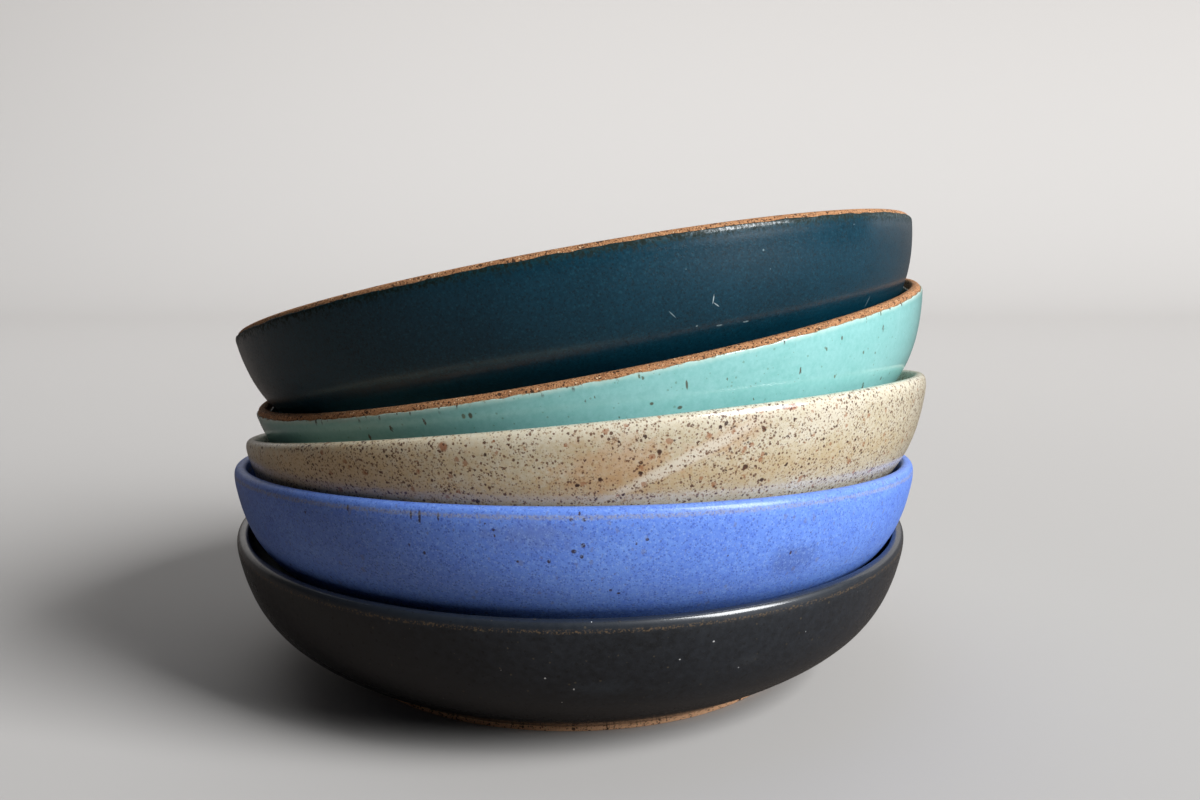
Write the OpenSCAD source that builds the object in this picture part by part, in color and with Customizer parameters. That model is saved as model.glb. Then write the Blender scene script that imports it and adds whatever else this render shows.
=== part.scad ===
// Five stoneware pasta bowls in a leaning stack. All share one thrown form and each has its own glaze.
// Each bowl is a clay body with a fused coat of glaze, and it rests inside the bowl beneath it.
// Lengths are millimetres and angles are degrees. The origin is the centre of the lowest foot, +Z is up.

/* [Bowl form] */
// Outside diameter at the rim
rim_d = 220; // [196:1:250]
// Height from the foot to the crest of the rim
bowl_h = 47; // [42:0.5:58]
// Thickness of the wall, glaze included
wall_t = 4.6; // [4:0.1:6]
// Thickness of the floor over the foot well, glaze included
floor_t = 4.2; // [3:0.1:6]
// Slope of the belly where it leaves the foot
belly_slope = 27.5; // [23:0.5:32]
// Height over the floor at which the inside curve has become the wall
floor_blend_h = 4; // [2:0.5:6]

/* [Rim] */
// Radius of the rim's outer edge
rim_outer_r = 2.6; // [1.6:0.1:3]
// Radius of the rim's inner edge
rim_inner_r = 1.6; // [1:0.1:2]
// Height of the bare band below the crest, outside, on the two bowls with wiped rims
bare_rim_h = 3.4; // [3.2:0.1:8]
// Height of the bare band below the crest, inside, on the same bowls
bare_lip_h = 2.4; // [2:0.1:6]

/* [Foot] */
// Outside diameter of the foot ring
foot_d = 146; // [120:1:152]
// Width of the foot ring where it stands
foot_ring_w = 5; // [3:0.5:9]
// Depth of the well inside the foot ring
foot_well_h = 2.4; // [1.5:0.1:4]
// Height of the bare clay band round the foot
foot_band_h = 1.8; // [1:0.1:3]
// Chamfer on both lower edges of the foot ring
foot_chamfer = 0.4; // [0.2:0.1:0.8]
// Slope of the foot ring's inner face
foot_inner_slope = 60; // [40:5:80]

/* [Glaze] */
// Thickness of the glaze coat
glaze_t = 0.5; // [0.3:0.1:0.8]

/* [Lean of the wall at the rim] */
// Black bowl
black_lean = 9.5; // [6:0.5:14]
// Blue bowl
blue_lean = 9; // [6:0.5:14]
// Sand bowl
sand_lean = 13; // [6:0.5:14]
// Turquoise bowl
turquoise_lean = 12; // [6:0.5:14]
// Teal bowl
teal_lean = 8; // [6:0.5:14]

/* [Seat of each bowl in the one beneath] */
// Clearance between a bowl and the one that it rests in
seat_gap = 0.3; // [0.2:0.05:1]
// Blue bowl, tilt of its right side up
blue_tilt_right = 0.2; // [-8:0.1:8]
// Blue bowl, tilt of its front up
blue_tilt_front = 5.6; // [-8:0.1:8]
// Blue bowl, shift to the right
blue_right = 1.4; // [-9:0.1:9]
// Blue bowl, shift to the front
blue_front = 8.1; // [-9:0.1:9]
// Sand bowl, tilt of its right side up
sand_tilt_right = 5.4; // [-8:0.1:8]
// Sand bowl, tilt of its front up
sand_tilt_front = 2.2; // [-8:0.1:8]
// Sand bowl, shift to the right
sand_right = 8; // [-9:0.1:9]
// Sand bowl, shift to the front
sand_front = 3.2; // [-9:0.1:9]
// Turquoise bowl, tilt of its right side up
turquoise_tilt_right = 5.1; // [-8:0.1:8]
// Turquoise bowl, tilt of its front up
turquoise_tilt_front = -4.9; // [-8:0.1:8]
// Turquoise bowl, shift to the right
turquoise_right = 6.6; // [-9:0.1:9]
// Turquoise bowl, shift to the front
turquoise_front = -9; // [-9:0.1:9]
// Teal bowl, tilt of its right side up
teal_tilt_right = -0.5; // [-8:0.1:8]
// Teal bowl, tilt of its front up
teal_tilt_front = 7.1; // [-8:0.1:8]
// Teal bowl, shift to the right
teal_right = -1; // [-9:0.1:9]
// Teal bowl, shift to the front
teal_front = 8.5; // [-9:0.1:9]

/* [Hidden] */

// The bowls from the lowest up, with each one's lean and its pose in the bowl beneath
BLACK = 0;
BLUE = 1;
SAND = 2;
TURQUOISE = 3;
TEAL = 4;
lean = [black_lean, blue_lean, sand_lean, turquoise_lean, teal_lean];
tilt_right = [0, blue_tilt_right, sand_tilt_right, turquoise_tilt_right, teal_tilt_right];
tilt_front = [0, blue_tilt_front, sand_tilt_front, turquoise_tilt_front, teal_tilt_front];
shift_right = [0, blue_right, sand_right, turquoise_right, teal_right];
shift_front = [0, blue_front, sand_front, turquoise_front, teal_front];

rim_r = rim_d / 2;
foot_r = foot_d / 2;
floor_h = foot_well_h + floor_t;
// The rim's two rounded edges take at most this share of the wall
rim_edge_share = 0.98;
// How far each end's tangent pulls the belly curve, as shares of the curve's chord
foot_pull_share = 0.475;
rim_pull_share = 0.43;
curve_steps = 24;
edge_steps = 6;
blend_steps = 6;
// Spacing of the points round a bowl at which its seat is worked out, in degrees
seat_step = 5;

// Points of a cubic and of a quadratic curve
function cubic(p, t) =
    pow(1 - t, 3) * p[0] + 3 * t * pow(1 - t, 2) * p[1] + 3 * t * t * (1 - t) * p[2] + pow(t, 3) * p[3];
function cubic_slope(p, t) =
    pow(1 - t, 2) * (p[1] - p[0]) + 2 * t * (1 - t) * (p[2] - p[1]) + t * t * (p[3] - p[2]);
function quadratic(p, t) = pow(1 - t, 2) * p[0] + 2 * t * (1 - t) * p[1] + t * t * p[2];
function reversed(list) = [for (i = [len(list) - 1:-1:0]) list[i]];
function unit(v) = v / norm(v);
// The normal of a rising curve that points into the bowl
function inward(v) = unit([-v.y, v.x]);
function polar(r, a) = r * [cos(a), sin(a)];

// The rim's edge radii, which leave the crest between them on a leaning wall
function edge_scale(k) =
    let (wanted = rim_outer_r * (1 + sin(lean[k])) + rim_inner_r * (1 - sin(lean[k])))
    min(1, rim_edge_share * wall_t / wanted);
function outer_edge_r(k) = rim_outer_r * edge_scale(k);
function inner_edge_r(k) = rim_inner_r * edge_scale(k);
function outer_edge_centre(k) = [rim_r - outer_edge_r(k), bowl_h - outer_edge_r(k)];

// Belly and wall of the finished outside, from the top of the foot band to the start of the rim's edge
function belly(k) =
    let (start = [foot_r + glaze_t, foot_band_h])
    let (end = outer_edge_centre(k) + polar(outer_edge_r(k), -lean[k]))
    let (chord = norm(end - start))
    [
        start,
        start + polar(foot_pull_share * chord, belly_slope),
        end - polar(rim_pull_share * chord, 90 - lean[k]),
        end,
    ];

// The same curve moved out by skin: 0 is the glaze, -glaze_t the clay beneath it
function outside(k, skin) =
    let (b = belly(k))
    [for (i = [0:curve_steps]) cubic(b, i / curve_steps) - skin * inward(cubic_slope(b, i / curve_steps))];

// The rim's two rounded edges, over the crest from outside to inside
function outer_edge(k, skin) =
    [for (i = [1:edge_steps])
        outer_edge_centre(k) + polar(outer_edge_r(k) + skin, -lean[k] + (90 + lean[k]) * i / edge_steps)];
function inner_edge_centre(k) =
    let (wall = belly(k)[3] + polar(wall_t, 180 - lean[k]))
    let (up = (bowl_h - inner_edge_r(k) * (1 - sin(lean[k])) - wall.y) / cos(lean[k]))
    wall + polar(up, 90 - lean[k]) + polar(inner_edge_r(k), -lean[k]);
function inner_edge(k, skin) =
    [for (i = [0:edge_steps])
        inner_edge_centre(k) + polar(inner_edge_r(k) + skin, 90 + (90 - lean[k]) * i / edge_steps)];

// The inside from the centre of the floor, through the blend, up the wall
function inside(k, skin) =
    let (b = belly(k))
    let (wall = [for (i = [0:curve_steps])
        cubic(b, i / curve_steps) + (wall_t + skin) * inward(cubic_slope(b, i / curve_steps))])
    let (blend_top = floor_h + floor_blend_h)
    let (first = [for (i = [0:curve_steps]) if (wall[i].y > blend_top) i][0])
    let (rise = unit(wall[first] - wall[first - 1]))
    let (fall = wall[first].y - floor_h - skin)
    let (corner = wall[first] - rise * fall / rise.y)
    let (blend = [corner - [norm(wall[first] - corner), 0], corner, wall[first]])
    concat(
        [[0, floor_h + skin]],
        [for (i = [0:blend_steps]) quadratic(blend, i / blend_steps)],
        [for (i = [first + 1:curve_steps]) wall[i]]
    );

// The whole surface in section, from the foot band over the rim to the centre of the floor
function section(k, skin) =
    concat(outside(k, skin), outer_edge(k, skin), inner_edge(k, skin), reversed(inside(k, skin)));

// A rising curve, ended level at height h
function up_to(curve, h) =
    let (n = [for (i = [0:len(curve) - 1]) if (curve[i].y >= h) i][0])
    let (share = (h - curve[n - 1].y) / (curve[n].y - curve[n - 1].y))
    concat([for (i = [0:n - 1]) curve[i]], [curve[n - 1] + share * (curve[n] - curve[n - 1])]);
function between(lower, upper) = concat(upper, reversed(lower));

// The clay body with its foot ring
function clay_section(k) =
    let (ring_in = foot_r - foot_ring_w)
    concat(
        [
            [0, foot_well_h],
            [ring_in - (foot_well_h - foot_chamfer) / tan(foot_inner_slope), foot_well_h],
            [ring_in, foot_chamfer],
            [ring_in + foot_chamfer, 0],
            [foot_r - foot_chamfer, 0],
            [foot_r, foot_chamfer],
            [foot_r, outside(k, -glaze_t)[0].y],
        ],
        section(k, -glaze_t)
    );
module clay_body(k) {
    rotate_extrude() polygon(clay_section(k));
}

// One coat over the whole bowl but its foot
module whole_coat(k) {
    rotate_extrude() polygon(between(section(k, -glaze_t), section(k, 0)));
}

// Coats that stop short of a wiped rim, outside and inside
module outer_coat(k) {
    top = bowl_h - bare_rim_h;
    glaze = up_to(concat(outside(k, 0), outer_edge(k, 0)), top);
    clay = up_to(concat(outside(k, -glaze_t), outer_edge(k, -glaze_t)), top);
    rotate_extrude() polygon(between(clay, glaze));
}
module inner_coat(k) {
    top = bowl_h - bare_lip_h;
    glaze = up_to(concat(inside(k, 0), reversed(inner_edge(k, 0))), top);
    clay = up_to(concat(inside(k, -glaze_t), reversed(inner_edge(k, -glaze_t))), top);
    rotate_extrude() polygon(between(glaze, clay));
}

// A point of bowl k, as the bowl beneath it sees it before bowl k is lifted to its seat
function tilted(k, p) =
    let (x = p.x * cos(tilt_right[k]) - p.z * sin(tilt_right[k]))
    let (z = p.x * sin(tilt_right[k]) + p.z * cos(tilt_right[k]))
    [
        x + shift_right[k],
        p.y * cos(tilt_front[k]) + z * sin(tilt_front[k]) - shift_front[k],
        z * cos(tilt_front[k]) - p.y * sin(tilt_front[k]),
    ];

// Height at which bowl k rests: its outside just clears the bowl beneath, grown by the clearance
function seat(k) =
    let (under = reversed(concat(outer_edge(k - 1, seat_gap), inner_edge(k - 1, seat_gap),
        reversed(inside(k - 1, seat_gap)))))
    let (reach = rim_r + seat_gap)
    let (touch = concat([[foot_r, 0]], outside(k, 0), outer_edge(k, 0)))
    max([
        for (a = [0:seat_step:360 - seat_step])
            for (p = touch)
                let (q = tilted(k, [p.x * cos(a), p.x * sin(a), p.y]))
                let (r = norm([q.x, q.y]))
                if (r < reach) lookup(r, under) - q.z
    ]);
seats = [0, seat(BLUE), seat(SAND), seat(TURQUOISE), seat(TEAL)];

// Carries a bowl from its own axis to its place in the stack
module stacked(k) {
    if (k == 0)
        children();
    else
        stacked(k - 1)
            translate([shift_right[k], -shift_front[k], seats[k]])
                rotate([-tilt_front[k], 0, 0])
                    rotate([0, -tilt_right[k], 0])
                        children();
}

module bare_clay() {
    color([0.66, 0.45, 0.31]) children();
}

module black_clay_body() {
    bare_clay() stacked(BLACK) clay_body(BLACK);
}
module black_glaze_coat() {
    color([0.13, 0.14, 0.15]) stacked(BLACK) whole_coat(BLACK);
}
module blue_clay_body() {
    bare_clay() stacked(BLUE) clay_body(BLUE);
}
module blue_glaze_coat() {
    color([0.38, 0.50, 0.87]) stacked(BLUE) whole_coat(BLUE);
}
module sand_clay_body() {
    bare_clay() stacked(SAND) clay_body(SAND);
}
module sand_glaze_coat() {
    color([0.79, 0.73, 0.60]) stacked(SAND) whole_coat(SAND);
}
module turquoise_clay_body() {
    bare_clay() stacked(TURQUOISE) clay_body(TURQUOISE);
}
module turquoise_outer_glaze() {
    color([0.55, 0.80, 0.76]) stacked(TURQUOISE) outer_coat(TURQUOISE);
}
module turquoise_inner_glaze() {
    color([0.55, 0.80, 0.76]) stacked(TURQUOISE) inner_coat(TURQUOISE);
}
module teal_clay_body() {
    bare_clay() stacked(TEAL) clay_body(TEAL);
}
module teal_outer_glaze() {
    color([0.06, 0.22, 0.28]) stacked(TEAL) outer_coat(TEAL);
}
module teal_inner_glaze() {
    color([0.06, 0.22, 0.28]) stacked(TEAL) inner_coat(TEAL);
}

echo(seats = seats, floor_h = floor_h);

black_clay_body();
black_glaze_coat();
blue_clay_body();
blue_glaze_coat();
sand_clay_body();
sand_glaze_coat();
turquoise_clay_body();
turquoise_outer_glaze();
turquoise_inner_glaze();
teal_clay_body();
teal_outer_glaze();
teal_inner_glaze();
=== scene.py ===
import math

import bpy
import numpy as np
from mathutils import Matrix, Vector


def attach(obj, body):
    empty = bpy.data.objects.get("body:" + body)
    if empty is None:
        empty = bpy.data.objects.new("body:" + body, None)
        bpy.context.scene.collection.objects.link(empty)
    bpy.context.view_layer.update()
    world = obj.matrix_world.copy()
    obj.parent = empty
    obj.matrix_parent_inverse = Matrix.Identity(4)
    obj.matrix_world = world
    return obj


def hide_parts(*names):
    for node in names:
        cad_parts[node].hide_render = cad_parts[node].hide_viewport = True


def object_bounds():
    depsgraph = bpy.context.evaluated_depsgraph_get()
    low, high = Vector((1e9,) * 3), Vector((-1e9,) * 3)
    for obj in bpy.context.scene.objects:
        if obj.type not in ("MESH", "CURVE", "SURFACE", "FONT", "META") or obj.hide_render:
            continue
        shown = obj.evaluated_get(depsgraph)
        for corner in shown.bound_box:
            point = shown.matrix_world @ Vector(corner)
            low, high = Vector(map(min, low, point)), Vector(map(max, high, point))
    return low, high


# A leaning stack of five stoneware pasta bowls.
# Lengths in the dictionaries are millimetres, angles degrees, colours 0 to 255 as a screen shows them.
mm = 0.001

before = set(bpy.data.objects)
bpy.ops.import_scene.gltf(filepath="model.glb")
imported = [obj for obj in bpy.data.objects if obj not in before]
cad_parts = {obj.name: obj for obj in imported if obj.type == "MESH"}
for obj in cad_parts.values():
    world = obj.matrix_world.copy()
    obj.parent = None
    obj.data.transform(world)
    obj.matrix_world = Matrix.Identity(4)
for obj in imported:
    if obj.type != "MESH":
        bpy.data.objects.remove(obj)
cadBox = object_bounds()
print("frame loaded:", len(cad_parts), "CAD nodes")


# Camera at the photograph's viewing angle

photoView = {
    "right": 9.5, "back": 448.0, "up": 168.5, "focalPixels": 1370.6, "horizonRow": 144.0,
    "size": (1200, 800), "sensor": 36.0, "clipStart": 10.0,
}


def addCamera():
    width, height = photoView["size"]
    data = bpy.data.cameras.new("photoCamera")
    data.sensor_width = photoView["sensor"]
    data.lens = photoView["focalPixels"] * data.sensor_width / width
    data.clip_start = photoView["clipStart"] * mm
    camera = bpy.data.objects.new("photoCamera", data)
    bpy.context.collection.objects.link(camera)
    pitch = math.atan((height / 2 - photoView["horizonRow"]) / photoView["focalPixels"])
    camera.location = Vector((photoView["right"], -photoView["back"], photoView["up"])) * mm
    camera.rotation_euler = (math.pi / 2 - pitch, 0, 0)
    bpy.context.scene.camera = camera


addCamera()
print("camera placed")


# Short ways to build node trees

floatSocket, vectorSocket, geometrySocket = "NodeSocketFloat", "NodeSocketVector", "NodeSocketGeometry"


def linear(colour):
    # a screen colour as the shaders want it
    shares = [value / 255 for value in colour]
    lit = [share / 12.92 if share <= 0.04045 else ((share + 0.055) / 1.055) ** 2.4 for share in shares]
    return (*lit, 1.0)


def put(tree, kind, wires=None, **settings):
    # a node with its settings, and its inputs by name or index
    node = tree.nodes.new(kind)
    for name, value in settings.items():
        setattr(node, name, value)
    for name, value in (wires or {}).items():
        if isinstance(value, bpy.types.NodeSocket):
            tree.links.new(value, node.inputs[name])
        else:
            node.inputs[name].default_value = value
    return node


def calc(tree, operation, first, second=0.0, third=0.0, clamp=False):
    wires = {0: first, 1: second, 2: third}
    return put(tree, "ShaderNodeMath", wires, operation=operation, use_clamp=clamp).outputs[0]


def vectorCalc(tree, operation, first, second):
    # a scale takes a number, everything else a second vector
    wires = {0: first, "Scale" if operation == "SCALE" else 1: second}
    return put(tree, "ShaderNodeVectorMath", wires, operation=operation).outputs[0]


def spread(tree, value, low, high, toLow=0.0, toHigh=1.0):
    # a soft step from toLow at low to toHigh at high
    wires = {"Value": value, "From Min": low, "From Max": high, "To Min": toLow, "To Max": toHigh}
    return put(tree, "ShaderNodeMapRange", wires, interpolation_type="SMOOTHSTEP").outputs["Result"]


def blended(tree, share, first, second):
    return put(tree, "ShaderNodeMix", {0: share, 6: first, 7: second}, data_type="RGBA").outputs[2]


noiseGain = 4.0  # a noise strays by about a quarter from its middle, and this brings that to one


def noisy(tree, place, seed, scale, detail, roughness=0.5):
    wires = {"Vector": place, "W": seed, "Scale": scale, "Detail": detail, "Roughness": roughness}
    return put(tree, "ShaderNodeTexNoise", wires, noise_dimensions="4D").outputs[0]


def parts(tree, vector):
    return put(tree, "ShaderNodeSeparateXYZ", {0: vector}).outputs


def joined(tree, x, y, z=0.0):
    return put(tree, "ShaderNodeCombineXYZ", {0: x, 1: y, 2: z}).outputs[0]


def newGroup(name, kind, inputs, outputs):
    tree = bpy.data.node_groups.new(name, kind)
    for title, socketType, value in inputs:
        socket = tree.interface.new_socket(name=title, in_out="INPUT", socket_type=socketType)
        if value is not None:
            socket.default_value = value
    for title, socketType in outputs:
        tree.interface.new_socket(name=title, in_out="OUTPUT", socket_type=socketType)
    return tree, tree.nodes.new("NodeGroupInput").outputs, tree.nodes.new("NodeGroupOutput").inputs


def use(tree, group, wires):
    # a shader group placed in a tree with its own values
    return put(tree, "ShaderNodeGroup", wires, node_tree=bpy.data.node_groups[group]).outputs


# The thrown form in section, which all five bowls share

bowlForm = {
    "rimRadius": 110.0, "height": 47.0, "wall": 4.6, "floor": 6.6, "floorBlend": 4.0,
    "rimEdge": 2.6, "innerEdge": 1.6, "shoulderDrop": 6.5, "shoulderFull": 0.72,
    "bellySlope": 27.5, "footPull": 0.475, "rimPull": 0.43,
    "footRadius": 73.0, "footRing": 5.0, "footWell": 2.4, "footInnerSlope": 60.0, "footChamfer": 0.4,
    "footBand": 1.8, "wellRoom": 1.2, "underSkin": 0.2,
}
curveSteps = {
    "belly": 44, "shoulder": 22, "edge": 8, "blend": 8, "floor": 12, "well": 15, "slope": 5, "chamfer": 4,
}
# roll is the rounded end of a coat, bead the thicker band behind it, swayReach how far back its end wanders
coatForm = {
    "thick": 0.5, "thin": 0.34, "roll": 0.42, "bead": 0.9, "beadFade": 2.2, "swayReach": 3.0,
    "bareLip": 2.45, "edgeSteps": (0.03, 0.08, 0.16, 0.27, 0.42, 0.65, 0.95, 1.4, 2.0),
}
# Throwing rings: inside and outside say where they start below the crest and how far on they are full,
# stillRadius is the calm middle and wellMargin the smooth border of the foot well, footDistance how far the
# foot lies beyond the line's start, and drift how many rings the wobble moves them by
ringForm = {
    "inside": (8, 20), "outside": (6, 10), "outsideShare": 0.22, "stillRadius": 14, "wellMargin": 2,
    "footDistance": 2, "drift": 2.2,
}
noEdge = 99.0  # distance from a bare edge, where a surface has none


def polar(radius, angle):
    return radius * np.array([math.cos(math.radians(angle)), math.sin(math.radians(angle))])


def bezier(points, steps):
    points = np.array(points, float)
    degree = len(points) - 1
    share = np.linspace(0, 1, steps + 1)[:, None]
    weights = [math.comb(degree, i) * share**i * (1 - share) ** (degree - i) for i in range(degree + 1)]
    return sum(weight * point for weight, point in zip(weights, points))


def measured(curve):
    return np.concatenate([[0], np.cumsum(np.linalg.norm(np.diff(curve, axis=0), axis=1))])


def alongOf(curve):
    slope = np.gradient(curve, axis=0)
    return slope / np.linalg.norm(slope, axis=1)[:, None]


def intoOf(curve):
    # from the surface into the clay, on a line that runs up the outside and down the inside
    along = alongOf(curve)
    return np.stack([-along[:, 1], along[:, 0]], 1)


def bellyLine(lean):
    # the outside without its soft shoulder, from the foot band to the rim's edge
    form = bowlForm
    start = np.array([form["footRadius"] + coatForm["thick"], form["footBand"]])
    edge = form["rimEdge"]
    end = np.array([form["rimRadius"] - edge, form["height"] - edge]) + polar(edge, -lean)
    chord = np.linalg.norm(end - start)
    footHandle = start + polar(form["footPull"] * chord, form["bellySlope"])
    rimHandle = end - polar(form["rimPull"] * chord, 90 - lean)
    return bezier([start, footHandle, rimHandle, end], curveSteps["belly"])


def shoulderLine(below, crest):
    # the outside turns over a soft shoulder to the crest
    rise = below[-1] - below[-2]
    corner = below[-1] + rise * (crest[1] - below[-1][1]) / rise[1]
    full = bowlForm["shoulderFull"]
    handles = below[-1] + full * (corner - below[-1]), crest + full * (corner - crest)
    return bezier([below[-1], *handles, crest], curveSteps["shoulder"])[1:]


def floorLine(wall):
    # the blend from the wall's lowest point to the floor, and the floor to its middle
    floor = bowlForm["floor"]
    slope = (wall[1] - wall[0]) / np.linalg.norm(wall[1] - wall[0])
    foot = wall[0] - slope * (wall[0][1] - floor) / slope[1]
    flatEnd = foot - [np.linalg.norm(wall[0] - foot), 0]
    blend = bezier([wall[0], foot, flatEnd], curveSteps["blend"])[1:]
    return np.vstack([blend, np.linspace(flatEnd, [0.0, floor], curveSteps["floor"] + 1)[1:]])


def finishedLine(lean):
    # the glazed surface, from the foot band up the outside, over the crest and down to the floor's middle
    form, slant = bowlForm, math.radians(lean)
    belly = bellyLine(lean)
    wall = belly + form["wall"] * intoOf(belly)
    edge = form["innerEdge"]
    up = (form["height"] - edge * (1 - math.sin(slant)) - wall[-1][1]) / math.cos(slant)
    centre = wall[-1] + polar(up, 90 - lean) + polar(edge, -lean)
    crest = centre + [0, edge]
    below = belly[belly[:, 1] < form["height"] - form["shoulderDrop"]]
    shoulder = shoulderLine(below, crest)
    turns = curveSteps["edge"]
    inner = np.array([centre + polar(edge, 90 + (90 - lean) * i / turns) for i in range(1, turns + 1)])
    wall = wall[wall[:, 1] > form["floor"] + form["floorBlend"]]
    points = np.vstack([below, shoulder, inner, wall[::-1], floorLine(wall)])
    distances = measured(points)
    crestAt = distances[len(below) + len(shoulder) - 1]
    return {"points": points, "at": distances, "crest": crestAt,
            "into": intoOf(points), "along": alongOf(points)}


def distanceAt(line, height, outside):
    # how far along the line it passes a height, on the outside or the inside
    side = line["at"] <= line["crest"] if outside else line["at"] >= line["crest"]
    heights, distances = line["points"][side, 1], line["at"][side]
    order = np.argsort(heights)
    return float(np.interp(height, heights[order], distances[order]))


def lineAt(line, distances, name):
    return np.stack([np.interp(distances, line["at"], line[name][:, i]) for i in (0, 1)], 1)


def stillMiddle(radius):
    return np.clip(radius / ringForm["stillRadius"], 0, 1) ** 2


def ringShare(fromCrest, radius):
    # throwing rings are plain on the inside and faint on the outside; the rim and the very middle have none
    start, reach = ringForm["inside"]
    inside = np.clip((-fromCrest - start) / reach, 0, 1)
    start, reach = ringForm["outside"]
    outside = ringForm["outsideShare"] * np.clip((fromCrest - start) / reach, 0, 1)
    return np.where(fromCrest < 0, inside, outside) * stillMiddle(radius)


def footOutline(skinStart):
    # the bare foot from the middle of its well to just under the skin, and where the well's floor ends
    form, steps = bowlForm, curveSteps
    well, outer, chamfer = form["footWell"], form["footRadius"], form["footChamfer"]
    ringIn = outer - form["footRing"]
    shoulder = ringIn - (well - chamfer) / math.tan(math.radians(form["footInnerSlope"]))
    floor = np.linspace([0.0, well], [shoulder - form["wellRoom"], well], steps["well"] + 1)
    outline = np.vstack([
        floor,
        bezier([floor[-1], [shoulder, well], [ringIn, chamfer]], steps["slope"])[1:],
        bezier([[ringIn, chamfer], [ringIn, 0], [ringIn + chamfer, 0]], steps["chamfer"])[1:],
        [[outer - form["footRing"] / 2, 0]],
        bezier([[outer - chamfer, 0], [outer, 0], [outer, chamfer]], steps["chamfer"]),
        [[outer, form["footBand"] / 2], [outer, skinStart - form["underSkin"]]],
    ])
    return outline, shoulder


def claySection(line, wiped):
    # the clay body: foot well, foot ring, then the skin under the glaze; coarser where glaze hides it
    keep = np.ones(len(line["at"]), bool) if wiped else np.arange(len(line["at"])) % 2 == 0
    keep[[0, -1]] = True
    surface, into = line["points"][keep], line["into"][keep]
    skin = surface + coatForm["thick"] * into
    foot, shoulder = footOutline(skin[0][1])
    footFrom = np.full(len(foot), line["crest"] + ringForm["footDistance"])
    fromCrest = np.concatenate([footFrom, line["crest"] - line["at"][keep]])
    inWell = np.where(foot[:, 0] < shoulder - ringForm["wellMargin"], stillMiddle(foot[:, 0]), 0.0)
    rings = np.concatenate([inWell, ringShare(fromCrest[len(foot):], surface[:, 0])])
    return {
        "points": np.vstack([foot, skin]), "surface": np.vstack([foot, surface]),
        "into": np.vstack([intoOf(foot), into]), "sway": np.zeros((len(rings), 2)),
        "fromCrest": fromCrest, "fromEdge": np.full(len(rings), noEdge), "rings": rings,
    }


def coatSection(line, first, last, edges):
    # a coat of glaze from one distance along the line to another; edges are those that end on bare clay
    form = coatForm
    places = [first, last] + [place for place in line["at"] if first < place < last]
    for end, direction in ((first, 1), (last, -1)):
        if end in edges:
            places += [end + direction * step for step in form["edgeSteps"]]
    places = np.unique(np.round(places, 4))
    gap = np.min([np.abs(places - end) for end in edges], axis=0)
    rolled = np.sqrt(1 - (1 - np.clip(gap / form["roll"], 0, 1)) ** 2)
    fade = np.clip((gap - form["bead"]) / form["beadFade"], 0, 1)
    depth = rolled * (form["thick"] + (form["thin"] - form["thick"]) * fade * fade * (3 - 2 * fade))
    surface, into, along = (lineAt(line, places, name) for name in ("points", "into", "along"))
    skin = surface + form["thick"] * into
    glaze = skin - depth[:, None] * into
    nearFirst = np.abs(places - first) < np.abs(places - last)
    inwards = np.where(nearFirst, 1, -1) if last in edges else 1
    sway = along * (np.clip(1 - gap / form["swayReach"], 0, 1) ** 2 * inwards)[:, None]
    back = np.unique(np.concatenate([[0, len(places) - 1], np.arange(0, len(places), 2)]))[::-1]
    fromCrest = line["crest"] - places
    both = {"surface": surface, "into": into, "sway": sway, "fromCrest": fromCrest,
            "fromEdge": gap, "rings": ringShare(fromCrest, surface[:, 0])}
    section = {name: np.concatenate([value, value[back]]) for name, value in both.items()}
    section["points"] = np.vstack([glaze, skin[back]])
    return section


def sectionObject(name, section):
    # the section as a chain of points; each point carries what the turning needs, as radius, 0, height
    def upright(values):
        return np.stack([values[:, 0], np.zeros(len(values)), values[:, 1]], 1)

    points = upright(section["points"])
    mesh = bpy.data.meshes.new(name)
    mesh.from_pydata(points.tolist(), [(i, i + 1) for i in range(len(points) - 1)], [])
    for title in ("surface", "into", "sway"):
        attribute = mesh.attributes.new(title, "FLOAT_VECTOR", "POINT")
        attribute.data.foreach_set("vector", upright(section[title]).astype(np.float32).ravel())
    for title in ("fromCrest", "fromEdge", "rings"):
        attribute = mesh.attributes.new(title, "FLOAT", "POINT")
        attribute.data.foreach_set("value", section[title].astype(np.float32))
    holder = bpy.data.objects.new(name, mesh)
    bpy.context.collection.objects.link(holder)
    return holder


# Geometry Nodes: a section turned round the bowl's axis, with rings, a slight wobble and a wandering edge

wanderRange = (0.25, 0.75)  # the part of the noise that moves a glaze edge
wanderDrift = 0.02  # how much the wander changes with the distance from the crest
mergeWithin = 0.004  # millimetres


def turnedGrid(tree, section, turns):
    # a grid with one row for each point of the section, and the angle and the row of each of its points
    count = put(tree, "GeometryNodeAttributeDomainSize", {0: section}).outputs["Point Count"]
    wires = {"Size X": 1.0, "Size Y": 1.0, "Vertices X": calc(tree, "ADD", turns, 1), "Vertices Y": count}
    grid = put(tree, "GeometryNodeMeshGrid", wires)
    across = parts(tree, put(tree, "GeometryNodeInputPosition").outputs[0])
    angle = calc(tree, "MULTIPLY", calc(tree, "ADD", across[0], 0.5), 2 * math.pi)
    row = calc(tree, "MULTIPLY", calc(tree, "ADD", across[1], 0.5), calc(tree, "SUBTRACT", count, 1))
    row = put(tree, "FunctionNodeFloatToInt", {0: row}, rounding_mode="ROUND").outputs[0]
    return grid.outputs["Mesh"], angle, row


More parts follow.
